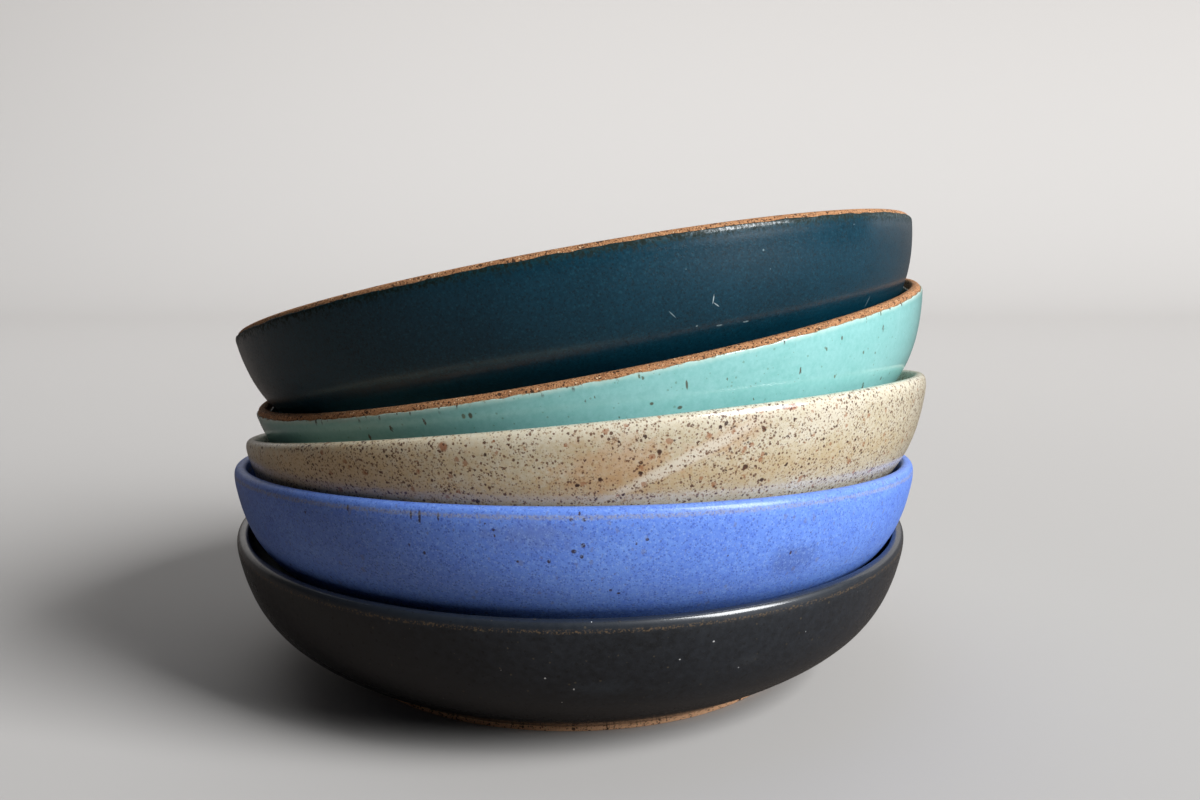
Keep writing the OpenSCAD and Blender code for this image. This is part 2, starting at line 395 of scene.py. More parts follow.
def cleaned(tree, mesh):
    # the seam and the points on the axis are merged, and the edges without faces that this leaves are deleted
    wires = {"Geometry": mesh, "Distance": mergeWithin * mm}
    mesh = put(tree, "GeometryNodeMergeByDistance", wires).outputs[0]
    faces = put(tree, "GeometryNodeInputMeshEdgeNeighbors").outputs[0]
    loose = put(tree, "FunctionNodeCompare", {"A": faces, "B": 0}, data_type="INT", operation="EQUAL")
    wires = {0: mesh, 1: loose.outputs[0]}
    return put(tree, "GeometryNodeDeleteGeometry", wires, domain="EDGE", mode="EDGE_FACE").outputs[0]


def buildThrownForm():
    tree, given, result = newGroup("thrownForm", "GeometryNodeTree", [
        ("Section", geometrySocket, None), ("Turns", "NodeSocketInt", 360), ("Seed", floatSocket, 0.0),
        ("Wobble Depth", floatSocket, 0.1), ("Wobble Size", floatSocket, 22.0),
        ("Ring Depth", floatSocket, 0.1), ("Ring Pitch", floatSocket, 7.5),
        ("Edge Wander", floatSocket, 0.5), ("Wander Size", floatSocket, 6.0),
        ("Place", vectorSocket, None), ("Tilt", vectorSocket, None), ("Material", "NodeSocketMaterial", None),
    ], [("Bowl", geometrySocket)])
    section, seed = given["Section"], given["Seed"]
    mesh, angle, row = turnedGrid(tree, section, given["Turns"])
    turned = calc(tree, "COSINE", angle), calc(tree, "SINE", angle)

    def sampled(value, kind):
        wires = {0: section, 1: value, 2: row}
        return put(tree, "GeometryNodeSampleIndex", wires, data_type=kind).outputs[0]

    def named(title, kind):
        return put(tree, "GeometryNodeInputNamedAttribute", {"Name": title}, data_type=kind).outputs[0]

    def number(title):
        return sampled(named(title, "FLOAT"), "FLOAT")

    def vector(title):
        return sampled(named(title, "FLOAT_VECTOR"), "FLOAT_VECTOR")

    def swung(flat):
        # radius, 0, height to a place on the bowl
        bits = parts(tree, flat)
        x, y = (calc(tree, "MULTIPLY", bits[0], turn) for turn in turned)
        return joined(tree, x, y, bits[2])

    wobbleScale = calc(tree, "DIVIDE", 1.0, given["Wobble Size"])
    wobblePlace = vectorCalc(tree, "SCALE", swung(vector("surface")), wobbleScale)
    wobble = noisy(tree, wobblePlace, seed, 1.0, 1.5)

    fromCrest = number("fromCrest")
    drift = calc(tree, "MULTIPLY", wobble, ringForm["drift"])
    swell = calc(tree, "ADD", drift, calc(tree, "DIVIDE", fromCrest, given["Ring Pitch"]))
    phase = calc(tree, "ADD", calc(tree, "MULTIPLY", swell, 2 * math.pi), angle)
    wave = calc(tree, "MULTIPLY_ADD", calc(tree, "SINE", phase), 0.5, 0.5)
    rings = calc(tree, "MULTIPLY", calc(tree, "MULTIPLY", wave, given["Ring Depth"]), number("rings"))
    depth = calc(tree, "ADD", rings, calc(tree, "MULTIPLY", wobble, given["Wobble Depth"]))

    rim = joined(tree, *turned, calc(tree, "MULTIPLY", fromCrest, wanderDrift))
    reach = calc(tree, "DIVIDE", bowlForm["rimRadius"], given["Wander Size"])
    wander = noisy(tree, vectorCalc(tree, "SCALE", rim, reach), seed, 1.0, 3.0, 0.6)
    wander = calc(tree, "MULTIPLY", spread(tree, wander, *wanderRange), given["Edge Wander"])

    pressed = vectorCalc(tree, "SCALE", vector("into"), depth)
    moved = vectorCalc(tree, "ADD", pressed, vectorCalc(tree, "SCALE", vector("sway"), wander))
    position = sampled(put(tree, "GeometryNodeInputPosition").outputs[0], "FLOAT_VECTOR")
    place = swung(vectorCalc(tree, "ADD", position, moved))
    stored = (("fromCrest", "FLOAT", fromCrest), ("fromEdge", "FLOAT", number("fromEdge")),
              ("bowlPlace", "FLOAT_VECTOR", place))
    for title, kind, value in stored:
        wires = {"Geometry": mesh, "Name": title, "Value": value}
        mesh = put(tree, "GeometryNodeStoreNamedAttribute", wires, data_type=kind, domain="POINT").outputs[0]
    position = vectorCalc(tree, "SCALE", named("bowlPlace", "FLOAT_VECTOR"), mm)
    mesh = put(tree, "GeometryNodeSetPosition", {"Geometry": mesh, "Position": position}).outputs[0]
    wires = {"Geometry": cleaned(tree, mesh), "Translation": given["Place"], "Rotation": given["Tilt"]}
    mesh = put(tree, "GeometryNodeTransform", wires).outputs[0]
    mesh = put(tree, "GeometryNodeSetShadeSmooth", {"Geometry": mesh}).outputs[0]
    mesh = put(tree, "GeometryNodeRealizeInstances", {"Geometry": mesh}).outputs[0]
    wires = {"Geometry": mesh, "Material": given["Material"]}
    tree.links.new(put(tree, "GeometryNodeSetMaterial", wires).outputs[0], result["Bowl"])


def bowlPlace(node):
    # where a bowl sits, read from its clay body in the frame, whose axis is the way in which it is flattest
    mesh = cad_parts[node].data
    points = np.empty(len(mesh.vertices) * 3)
    mesh.vertices.foreach_get("co", points)
    points = points.reshape(-1, 3)
    mesh.calc_loop_triangles()
    corners = np.empty(len(mesh.loop_triangles) * 3, int)
    mesh.loop_triangles.foreach_get("vertices", corners)
    triangles = points[corners.reshape(-1, 3)]
    sides = triangles[:, 1:] - triangles[:, :1]
    areas = np.linalg.norm(np.cross(sides[:, 0], sides[:, 1]), axis=1)
    middles = triangles.mean(1)
    centre = (middles * areas[:, None]).sum(0) / areas.sum()
    off = middles - centre
    axis = np.linalg.eigh((off * areas[:, None]).T @ off)[1][:, 0]
    axis *= np.sign(axis[2])
    foot = centre + axis * ((points - centre) @ axis).min()
    axis, right = Vector(axis), Vector((1, 0, 0))
    right = (right - axis * right.dot(axis)).normalized()
    return Vector(foot), Matrix((right, axis.cross(right), axis)).transposed().to_euler()


def turnedPiece(name, section, bowl, material, node):
    # one plain mesh that stands for one CAD node
    holder = sectionObject(name + "Section", section)
    modifier = holder.modifiers.new("turning", "NODES")
    modifier.node_group = bpy.data.node_groups["thrownForm"]
    sockets = {item.name: item.identifier for item in modifier.node_group.interface.items_tree
               if item.in_out == "INPUT"}
    values = {"Turns": bowl["turns"], "Seed": bowl["seed"], "Material": material,
              "Place": bowl["place"], "Tilt": bowl["tilt"], **bowl["shaping"]}
    for title, value in values.items():
        modifier[sockets[title]] = value
    evaluated = holder.evaluated_get(bpy.context.evaluated_depsgraph_get())
    mesh = bpy.data.meshes.new_from_object(evaluated)
    mesh.name = name
    holder.modifiers.clear()
    bpy.data.objects.remove(holder)
    piece = bpy.data.objects.new(name, mesh)
    bpy.context.collection.objects.link(piece)
    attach(piece, bowl["name"] + "_bowl")
    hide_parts(node)
    print("  ", name, len(mesh.polygons), "faces")


# Shader groups that the clay and the glazes share

seedStep = (17.3, 5.9, 1.0)  # how far the cells of flecks move from one seed to the next
fleckRange = (0.5, 2.0)  # the smallest and largest fleck, as shares of their size
fleckFray = 0.7  # waves of the noise that frays a fleck, in one size of it


def buildFlecks():
    # spots of one size range, in cells of which only a share holds one
    tree, given, result = newGroup("flecks", "ShaderNodeTree", [
        ("Place", vectorSocket, None), ("Cell", floatSocket, 2.0), ("Size", floatSocket, 0.3),
        ("Soft", floatSocket, 0.08), ("Share", floatSocket, 0.5), ("Ragged", floatSocket, 0.15),
        ("Drawn", floatSocket, 1.0), ("Seed", floatSocket, 0.0),
    ], [("Mask", floatSocket)])
    size, soft = given["Size"], given["Soft"]
    drawn = joined(tree, 1.0, 1.0, calc(tree, "DIVIDE", 1.0, given["Drawn"]))
    place = vectorCalc(tree, "MULTIPLY", given["Place"], drawn)
    place = vectorCalc(tree, "ADD", place, vectorCalc(tree, "SCALE", seedStep, given["Seed"]))
    wires = {"Vector": place, "Scale": calc(tree, "DIVIDE", fleckFray, size), "Detail": 2.0}
    rough = put(tree, "ShaderNodeTexNoise", wires).outputs["Color"]
    rough = vectorCalc(tree, "SUBTRACT", rough, (0.5, 0.5, 0.5))
    rough = vectorCalc(tree, "SCALE", rough, calc(tree, "MULTIPLY", given["Ragged"], noiseGain))
    scale = calc(tree, "DIVIDE", 1.0, given["Cell"])
    wires = {"Vector": vectorCalc(tree, "ADD", place, rough), "Scale": scale}
    cells = put(tree, "ShaderNodeTexVoronoi", wires)
    chance = put(tree, "ShaderNodeSeparateColor", {0: cells.outputs["Color"]}).outputs
    small, large = fleckRange
    radius = calc(tree, "MULTIPLY_ADD", calc(tree, "POWER", chance[1], 2.0), large - small, small)
    radius = calc(tree, "MULTIPLY", size, radius)
    away = calc(tree, "MULTIPLY", cells.outputs["Distance"], given["Cell"])
    spot = spread(tree, away, calc(tree, "ADD", radius, soft), calc(tree, "SUBTRACT", radius, soft))
    there = calc(tree, "LESS_THAN", chance[0], given["Share"])
    tree.links.new(calc(tree, "MULTIPLY", spot, there), result["Mask"])


def buildMottle():
    tree, given, result = newGroup("mottle", "ShaderNodeTree", [
        ("Place", vectorSocket, None), ("Size", floatSocket, 10.0), ("Detail", floatSocket, 4.0),
        ("Contrast", floatSocket, 2.0), ("Seed", floatSocket, 0.0),
    ], [("Fac", floatSocket)])
    scale = calc(tree, "DIVIDE", 1.0, given["Size"])
    noise = noisy(tree, given["Place"], given["Seed"], scale, given["Detail"], 0.6)
    centred = calc(tree, "SUBTRACT", noise, 0.5)
    tree.links.new(calc(tree, "MULTIPLY_ADD", centred, given["Contrast"], 0.5, clamp=True), result["Fac"])


breakLook = {"raggedScale": 0.8, "core": 0.2, "dotScale": 1.7, "low": 0.2, "lowRange": 0.35, "soft": 0.14}


def buildRimBreak():
    # a dotted line where the glaze thins over an edge, and the band between that line and the crest, which
    # carries the thin glaze's colour and on some bowls a painted sheen
    tree, given, result = newGroup("rimBreak", "ShaderNodeTree", [
        ("Place", vectorSocket, None), ("Distance", floatSocket, 0.0), ("Drop", floatSocket, 3.3),
        ("Width", floatSocket, 0.5), ("Ragged", floatSocket, 0.4), ("Dotted", floatSocket, 0.5),
        ("Seed", floatSocket, 0.0),
    ], [("Line", floatSocket), ("Thin Rim Sheen", floatSocket)])
    drop, width, look = given["Drop"], given["Width"], breakLook
    rough = noisy(tree, given["Place"], given["Seed"], look["raggedScale"], 4.0)
    ragged = calc(tree, "MULTIPLY", given["Ragged"], noiseGain)
    shift = calc(tree, "MULTIPLY", calc(tree, "SUBTRACT", rough, 0.5), ragged)
    distance = calc(tree, "ADD", calc(tree, "ABSOLUTE", given["Distance"]), shift)
    off = calc(tree, "ABSOLUTE", calc(tree, "SUBTRACT", distance, drop))
    line = spread(tree, off, width, calc(tree, "MULTIPLY", width, look["core"]))
    dots = noisy(tree, given["Place"], given["Seed"], look["dotScale"], 3.0, 0.7)
    low = calc(tree, "MULTIPLY_ADD", given["Dotted"], look["lowRange"], look["low"])
    dots = spread(tree, dots, low, calc(tree, "ADD", low, look["soft"]))
    band = spread(tree, distance, calc(tree, "ADD", drop, width), calc(tree, "SUBTRACT", drop, width))
    tree.links.new(calc(tree, "MULTIPLY", line, dots), result["Line"])
    tree.links.new(band, result["Thin Rim Sheen"])


def buildSkin():
    # the small relief of a fired surface, in millimetres
    tree, given, result = newGroup("firedSkin", "ShaderNodeTree", [
        ("Place", vectorSocket, None), ("Peel Size", floatSocket, 2.0), ("Peel Depth", floatSocket, 0.02),
        ("Grain Size", floatSocket, 0.4), ("Grain Depth", floatSocket, 0.01), ("Seed", floatSocket, 0.0),
    ], [("Height", floatSocket)])
    heights = []
    for size, depth, detail in (("Peel Size", "Peel Depth", 2.0), ("Grain Size", "Grain Depth", 3.0)):
        scale = calc(tree, "DIVIDE", 1.0, given[size])
        noise = noisy(tree, given["Place"], given["Seed"], scale, detail)
        heights.append(calc(tree, "MULTIPLY", noise, given[depth]))
    tree.links.new(calc(tree, "ADD", *heights), result["Height"])


markFray = 5.0  # how far the rough noise moves a mark's outline, against the mark's own size


def buildMark():
    # one patch or scratch at a bearing round the bowl and a distance down from the crest
    tree, given, result = newGroup("markAt", "ShaderNodeTree", [
        ("Place", vectorSocket, None), ("Distance", floatSocket, 0.0), ("Bearing", floatSocket, 0.0),
        ("Down", floatSocket, 20.0), ("Width", floatSocket, 10.0), ("Height", floatSocket, 4.0),
        ("Turn", floatSocket, 0.0), ("Rough", floatSocket, 0.5), ("Ragged", floatSocket, 0.2),
        ("Soft", floatSocket, 0.3),
    ], [("Mask", floatSocket)])
    bits = parts(tree, given["Place"])
    around = calc(tree, "ARCTAN2", bits[1], bits[0])
    around = calc(tree, "SUBTRACT", around, calc(tree, "RADIANS", given["Bearing"]))
    around = calc(tree, "WRAP", around, math.pi, -math.pi)
    flat = joined(tree, bits[0], bits[1])
    radius = put(tree, "ShaderNodeVectorMath", {0: flat}, operation="LENGTH").outputs["Value"]
    aside = calc(tree, "MULTIPLY", around, radius)
    above = calc(tree, "SUBTRACT", given["Down"], given["Distance"])
    turn = calc(tree, "RADIANS", given["Turn"])
    cosine, sine = calc(tree, "COSINE", turn), calc(tree, "SINE", turn)
    long = calc(tree, "ADD", calc(tree, "MULTIPLY", aside, cosine), calc(tree, "MULTIPLY", above, sine))
    wide = calc(tree, "SUBTRACT", calc(tree, "MULTIPLY", above, cosine), calc(tree, "MULTIPLY", aside, sine))
    long = calc(tree, "DIVIDE", long, calc(tree, "MULTIPLY", given["Width"], 0.5))
    wide = calc(tree, "DIVIDE", wide, calc(tree, "MULTIPLY", given["Height"], 0.5))
    size = calc(tree, "ADD", calc(tree, "MULTIPLY", long, long), calc(tree, "MULTIPLY", wide, wide))
    rough = calc(tree, "MULTIPLY", calc(tree, "SUBTRACT", given["Rough"], 0.5), given["Ragged"])
    size = calc(tree, "MULTIPLY_ADD", rough, markFray, calc(tree, "SQRT", size))
    soft = given["Soft"]
    mask = spread(tree, size, calc(tree, "ADD", 1.0, soft), calc(tree, "SUBTRACT", 1.0, soft))
    tree.links.new(mask, result["Mask"])


def newMaterial(name):
    material = bpy.data.materials.new(name)
    material.use_nodes = True
    tree = material.node_tree
    return material, tree, tree.nodes["Principled BSDF"]


def surfaceInputs(tree):
    # the piece's own attributes: place on the bowl, and distance from the crest (inside negative) and an edge
    place = put(tree, "ShaderNodeAttribute", attribute_name="bowlPlace").outputs["Vector"]
    fromCrest = put(tree, "ShaderNodeAttribute", attribute_name="fromCrest").outputs["Fac"]
    fromEdge = put(tree, "ShaderNodeAttribute", attribute_name="fromEdge").outputs["Fac"]
    return place, fromCrest, fromEdge


def bumped(tree, height, shader):
    bump = put(tree, "ShaderNodeBump", {"Height": height, "Distance": mm, "Strength": 1.0})
    tree.links.new(bump.outputs["Normal"], shader.inputs["Normal"])


# Bare clay on wiped rims and on every foot

clayLook = {
    "deep": (136, 82, 46), "pale": (212, 160, 114),
    "patchSize": 5.0, "patchContrast": 1.6, "grainSize": 0.42, "grainContrast": 3.6, "grainShare": 0.55,
    # foot: painted light, the clay is lightened towards the foot, which lies in shade
    "foot": {"colour": (244, 196, 156), "strength": 0.6, "from": 38.0, "to": 50.0},
    "darkGrit": {"colour": (60, 34, 20), "cell": 0.52, "size": 0.16, "share": 0.85},
    "bigGrit": {"colour": (44, 26, 18), "cell": 1.4, "size": 0.28, "share": 0.5},
    "paleGrit": {"colour": (246, 212, 172), "cell": 0.7, "size": 0.13, "share": 0.4},
    "gritStrength": 0.85, "gritSoft": 0.06, "gritRagged": 0.12, "gritRelief": 0.07, "grainRelief": 0.12,
    "roughness": 0.78, "vary": 0.1, "specular": 0.3,
}


def clayMaterial():
    look = clayLook
    material, tree, shader = newMaterial("bareClay")
    place, fromCrest = surfaceInputs(tree)[:2]
    wires = {"Place": place, "Size": look["patchSize"], "Contrast": look["patchContrast"]}
    patches = use(tree, "mottle", wires)[0]
    wires = {"Place": place, "Size": look["grainSize"], "Contrast": look["grainContrast"], "Seed": 2.0}
    grain = use(tree, "mottle", wires)[0]
    tone = calc(tree, "MULTIPLY", patches, 1 - look["grainShare"])
    tone = calc(tree, "MULTIPLY_ADD", grain, look["grainShare"], tone)
    colour = blended(tree, tone, linear(look["deep"]), linear(look["pale"]))
    # painted light on the foot: its clay is lightened from the given distances below the crest down, where
    # the foot lies in shade
    foot = look["foot"]
    paintedFootLight = spread(tree, fromCrest, foot["from"], foot["to"], 0.0, foot["strength"])
    colour = blended(tree, paintedFootLight, colour, linear(foot["colour"]))
    height = calc(tree, "MULTIPLY", grain, look["grainRelief"])
    for seed, (kind, rise) in enumerate((("darkGrit", -1), ("bigGrit", -1), ("paleGrit", 1)), 4):
        grit = look[kind]
        wires = {"Place": place, "Cell": grit["cell"], "Size": grit["size"], "Share": grit["share"],
                 "Seed": float(seed), "Soft": look["gritSoft"], "Ragged": look["gritRagged"]}
        spots = use(tree, "flecks", wires)["Mask"]
        strength = calc(tree, "MULTIPLY", spots, look["gritStrength"])
        colour = blended(tree, strength, colour, linear(grit["colour"]))
        height = calc(tree, "MULTIPLY_ADD", spots, rise * look["gritRelief"], height)
    tree.links.new(colour, shader.inputs["Base Color"])
    roughness = calc(tree, "MULTIPLY_ADD", patches, look["vary"], look["roughness"] - look["vary"] / 2)
    tree.links.new(roughness, shader.inputs["Roughness"])
    shader.inputs["Specular IOR Level"].default_value = look["specular"]
    bumped(tree, height, shader)
    return material


# Glazes: each bowl has its own dictionary, and glazeMaterial layers it the way the glaze lies.
# A mark is at a bearing and a distance down from the crest; spots are bearing, distance down, width, height.

blackBowl = {
    "name": "black", "lean": 9.5, "seed": 3.1, "bareRim": 0, "turns": 360,
    "shaping": {"Wobble Depth": 0.14, "Wobble Size": 26.0, "Ring Depth": 0.1, "Ring Pitch": 8.0,
                "Edge Wander": 0.3},
    "deep": (14, 16, 19), "light": (36, 41, 48), "broad": 34.0, "fine": 2.0,
    # the rim band here is a bluish painted reflection of the sky on the black rim
    "band": {"colour": (30, 37, 46), "below": 2.7, "width": 1.3, "strength": 0.7},
    "line": {"colour": (104, 84, 58), "below": 3.0, "width": 0.8, "dotted": 0.8, "ragged": 0.3,
             "strength": 0.75},
    "flecks": [
        {"colour": (214, 218, 220), "cell": 4.0, "size": 0.1, "share": 0.3, "strength": 0.7},
        {"colour": (8, 8, 8), "cell": 1.4, "size": 0.26, "share": 0.6, "strength": 0.5},
        {"colour": (92, 82, 62), "cell": 2.2, "size": 0.2, "share": 0.5, "strength": 0.45},
    ],
    "marks": [
        {"at": (-84.8, 23.5), "size": (13, 5), "colour": (58, 68, 78), "strength": 0.25, "ragged": 0.5,
         "soft": 0.7},
        {"at": (-62, 19), "size": (9, 3.5), "colour": (66, 70, 74), "strength": 0.2, "ragged": 0.5,
         "soft": 0.7},
    ],
    "spots": {"colour": (200, 202, 204), "strength": 0.8, "places": [
        (-92.7, 19.3, 0.5, 0.5), (-88.6, 23.5, 0.4, 0.6), (-73.4, 14.9, 0.5, 0.4),
        (-68.5, 10.4, 0.6, 0.5), (-63.3, 21.1, 0.4, 0.4)]},
    "edge": {"colour": (60, 44, 34), "reach": 0.8}, "edgeSpecks": None,
    "peel": 0.035, "peelSize": 2.6, "grain": 0.016,
    "roughness": 0.5, "vary": 0.1, "specular": 0.4, "coat": 0.8, "coatRoughness": 0.16,
}
blueBowl = {
    "name": "blue", "lean": 9.0, "seed": 7.4, "bareRim": 0, "turns": 360,
    "shaping": {"Wobble Depth": 0.14, "Wobble Size": 24.0, "Ring Depth": 0.12, "Ring Pitch": 8.5,
                "Edge Wander": 0.3},
    "deep": (82, 120, 222), "light": (118, 161, 244), "broad": 28.0, "fine": 1.3,
    "band": {"colour": (104, 138, 212), "below": 3.0, "width": 0.8, "strength": 0.35},
    "line": {"colour": (152, 150, 148), "below": 2.7, "width": 0.95, "dotted": 0.55, "ragged": 0.35,
             "strength": 0.6},
    "flecks": [
        {"colour": (150, 184, 246), "cell": 0.6, "size": 0.18, "share": 0.8, "strength": 0.4},
        {"colour": (54, 80, 168), "cell": 0.6, "size": 0.18, "share": 0.8, "strength": 0.5},
        {"colour": (112, 116, 148), "cell": 2.2, "size": 0.36, "share": 0.5, "strength": 0.4,
         "cluster": 0.6, "drawn": 1.5},
        {"colour": (66, 48, 46), "cell": 3.0, "size": 0.24, "share": 0.3, "strength": 0.9, "drawn": 1.5},
    ],
    "marks": [
        {"at": (-54.8, 20.5), "size": (17, 9), "colour": (74, 94, 154), "strength": 0.45, "ragged": 0.45,
         "soft": 0.6},
        {"at": (-95, 9), "size": (22, 7), "colour": (112, 124, 170), "strength": 0.35, "ragged": 0.7,
         "soft": 0.8},
    ],
    "spots": {"colour": (56, 42, 42), "strength": 0.9, "places": [
        (-87.9, 11.8, 1.2, 1.3), (-89.2, 13.5, 1.3, 1.1), (-88.1, 15.0, 1.0, 1.2),
        (-111.8, 4.7, 0.6, 2.4), (-110.5, 5.0, 0.8, 3.4), (-107.7, 4.8, 0.6, 2.0),
        (-122.4, 4.4, 0.7, 2.0), (-110.4, 15.2, 0.8, 1.0), (-112.6, 13.2, 0.6, 0.9),
        (-100.0, 7.7, 0.9, 0.8), (-92.6, 16.4, 0.9, 1.1), (-96.9, 16.5, 0.7, 0.7),
        (-89.5, 4.8, 0.9, 0.9), (-87.8, 4.8, 1.2, 0.9), (-79.2, 10.6, 0.9, 0.8),
        (-83.9, 25.9, 0.8, 0.8), (-82.7, 27.1, 1.0, 0.8)]},
    "edge": {"colour": (70, 58, 60), "reach": 0.9}, "edgeSpecks": None,
    "peel": 0.045, "peelSize": 2.2, "grain": 0.03,
    "roughness": 0.5, "vary": 0.12, "specular": 0.3, "coat": 0.38, "coatRoughness": 0.25,
}
sandBowl = {
    "name": "sand", "lean": 13.0, "seed": 12.9, "bareRim": 0, "turns": 360,
    "shaping": {"Wobble Depth": 0.14, "Wobble Size": 30.0, "Ring Depth": 0.1, "Ring Pitch": 7.5,
                "Edge Wander": 0.3},
    "deep": (190, 174, 136), "light": (222, 218, 202), "broad": 16.0, "fine": 0.9,
    "band": {"colour": (226, 220, 200), "below": 4.2, "width": 1.6, "strength": 0.45},
    "line": None,
    "flecks": [
        {"colour": (142, 104, 68), "cell": 0.6, "size": 0.17, "share": 0.8, "strength": 0.65, "cluster": 0.3},
        {"colour": (98, 60, 38), "cell": 0.8, "size": 0.2, "share": 0.75, "strength": 0.85, "cluster": 0.5},
        {"colour": (84, 50, 34), "cell": 1.2, "size": 0.24, "share": 0.65, "strength": 0.9, "cluster": 0.8},
        {"colour": (152, 92, 50), "cell": 2.6, "size": 0.46, "share": 0.45, "strength": 0.65, "cluster": 0.9},
        {"colour": (58, 32, 22), "cell": 2.4, "size": 0.34, "share": 0.45, "strength": 0.95, "cluster": 0.9},
    ],
    "marks": [
        # painted shade: a broad browner band low on the front of the body
        {"at": (-92, 20), "size": (190, 9), "colour": (186, 156, 104), "strength": 0.5, "ragged": 0.5,
         "soft": 0.8},
        {"at": (-130, 12), "size": (80, 22), "colour": (216, 184, 128), "strength": 0.55, "ragged": 0.6,
         "soft": 0.8},
        {"at": (-86, 14), "size": (26, 13), "colour": (186, 134, 84), "strength": 0.5, "ragged": 0.7,
         "soft": 0.8},
        {"at": (-70, 10), "size": (20, 6), "colour": (188, 138, 90), "strength": 0.5, "turn": 20,
         "ragged": 0.6, "soft": 0.7},
        {"at": (-75.5, 13.7), "size": (42, 3.4), "colour": (228, 222, 206), "strength": 0.75, "turn": 22,
         "ragged": 0.3, "soft": 0.5},
        {"at": (-53, 8), "size": (26, 8), "colour": (228, 222, 206), "strength": 0.5, "turn": 12,
         "ragged": 0.6, "soft": 0.7},
        {"at": (-60.3, 3.6), "size": (5, 1.6), "colour": (156, 84, 46), "strength": 0.8, "ragged": 0.5},
        {"at": (-109.1, 4.5), "size": (2.4, 2.6), "colour": (150, 84, 44), "strength": 0.8, "ragged": 0.4},
    ],
    "spots": {"colour": (58, 30, 20), "strength": 0.95, "places": [
        (-79.9, 11.1, 1.3, 1.3), (-64.5, 8.7, 1.3, 1.2), (-67.1, 18.4, 1.5, 1.4),
        (-88.2, 17.0, 1.1, 1.2), (-64.0, 23.1, 1.3, 1.1), (-82.5, 13.5, 1.1, 1.0)]},
    "edge": {"colour": (134, 94, 58), "reach": 0.9}, "edgeSpecks": None,
    "peel": 0.04, "peelSize": 2.4, "grain": 0.02,
    "roughness": 0.42, "vary": 0.12, "specular": 0.35, "coat": 0.7, "coatRoughness": 0.16,
}
turquoiseBowl = {
    "name": "turquoise", "lean": 12.0, "seed": 19.2, "bareRim": 1.7, "turns": 540,
    "shaping": {"Wobble Depth": 0.12, "Wobble Size": 26.0, "Ring Depth": 0.1, "Ring Pitch": 8.0,
                "Edge Wander": 0.7},
    "deep": (126, 194, 190), "light": (156, 214, 214), "broad": 26.0, "fine": 1.3,
    # the pale band at the glaze edge: paler thin glaze, with a painted highlight
    "band": {"colour": (206, 224, 212), "below": 2.5, "width": 1.4, "strength": 0.75},
    "line": None,
    "flecks": [
        {"colour": (104, 140, 116), "cell": 1.3, "size": 0.17, "share": 0.35, "strength": 0.5},
        {"colour": (88, 96, 66), "cell": 2.4, "size": 0.24, "share": 0.45, "strength": 0.8, "drawn": 1.6},
        {"colour": (80, 60, 38), "cell": 4.4, "size": 0.36, "share": 0.45, "strength": 0.9, "drawn": 2.2},
    ],
    "marks": [
        {"at": (-106.3, 7), "size": (1.1, 1.6), "colour": (70, 62, 36), "strength": 0.9, "ragged": 0.3},
        {"at": (-107.3, 6.9), "size": (1.0, 1.3), "colour": (90, 96, 66), "strength": 0.8, "ragged": 0.3},
    ],
    "spots": {"colour": (84, 68, 44), "strength": 0.85, "places": [
        (-76.3, 9.4, 0.6, 2.6), (-81.5, 12.6, 1.1, 0.9), (-77.6, 15.4, 1.3, 0.9), (-49.8, 7.6, 0.7, 1.2)]},
    "edge": {"colour": (150, 132, 96), "reach": 0.5},
    "edgeSpecks": {"colour": (62, 42, 30), "cell": 1.7, "size": 0.3, "share": 0.6, "reach": 2.6,
                   "drawn": 2.4},
    "peel": 0.03, "peelSize": 3.0, "grain": 0.01,
    "roughness": 0.4, "vary": 0.1, "specular": 0.35, "coat": 0.9, "coatRoughness": 0.13,
}
tealBowl = {
    "name": "teal", "lean": 8.0, "seed": 27.7, "bareRim": 1.6, "turns": 540,
    "shaping": {"Wobble Depth": 0.12, "Wobble Size": 30.0, "Ring Depth": 0.1, "Ring Pitch": 8.0,
                "Edge Wander": 0.6},
    "deep": (1, 38, 52), "light": (8, 64, 84), "broad": 30.0, "fine": 0.8,
    "band": {"colour": (18, 62, 62), "below": 3.6, "width": 1.0, "strength": 0.4},
    "line": None,
    "flecks": [
        {"colour": (2, 26, 34), "cell": 0.6, "size": 0.18, "share": 0.8, "strength": 0.5},
        {"colour": (26, 88, 106), "cell": 0.6, "size": 0.16, "share": 0.7, "strength": 0.25},
        {"colour": (150, 176, 184), "cell": 4.5, "size": 0.1, "share": 0.3, "strength": 0.5},
    ],
    "marks": [
        {"at": (-70.6, 21.8), "size": (0.3, 2.6), "colour": (186, 204, 210), "strength": 0.8, "turn": -8},
        {"at": (-70.1, 23.6), "size": (2.0, 0.3), "colour": (186, 204, 210), "strength": 0.7, "turn": -40},
        {"at": (-76.8, 24.4), "size": (2.8, 0.3), "colour": (150, 176, 184), "strength": 0.6, "turn": -50},
        {"at": (-35.9, 29.7), "size": (0.35, 3.4), "colour": (150, 176, 184), "strength": 0.6},
    ],
    "spots": {"colour": (150, 176, 184), "strength": 0.55, "places": [
        (-69.3, 30.0, 1.6, 0.5), (-64.8, 30.2, 1.8, 0.5), (-62.5, 10.9, 0.6, 0.6),
        (-73.0, 29.0, 0.6, 0.5)]},
    "edge": {"colour": (8, 28, 22), "reach": 2.8},
    "edgeSpecks": {"colour": (8, 28, 22), "cell": 0.9, "size": 0.38, "share": 0.9, "reach": 5.0,
                   "drawn": 1.5},
    "peel": 0.03, "peelSize": 2.4, "grain": 0.022,
    "roughness": 0.36, "vary": 0.1, "specular": 0.3, "coat": 0.7, "coatRoughness": 0.19,
}
bowls = [blackBowl, blueBowl, sandBowl, turquoiseBowl, tealBowl]
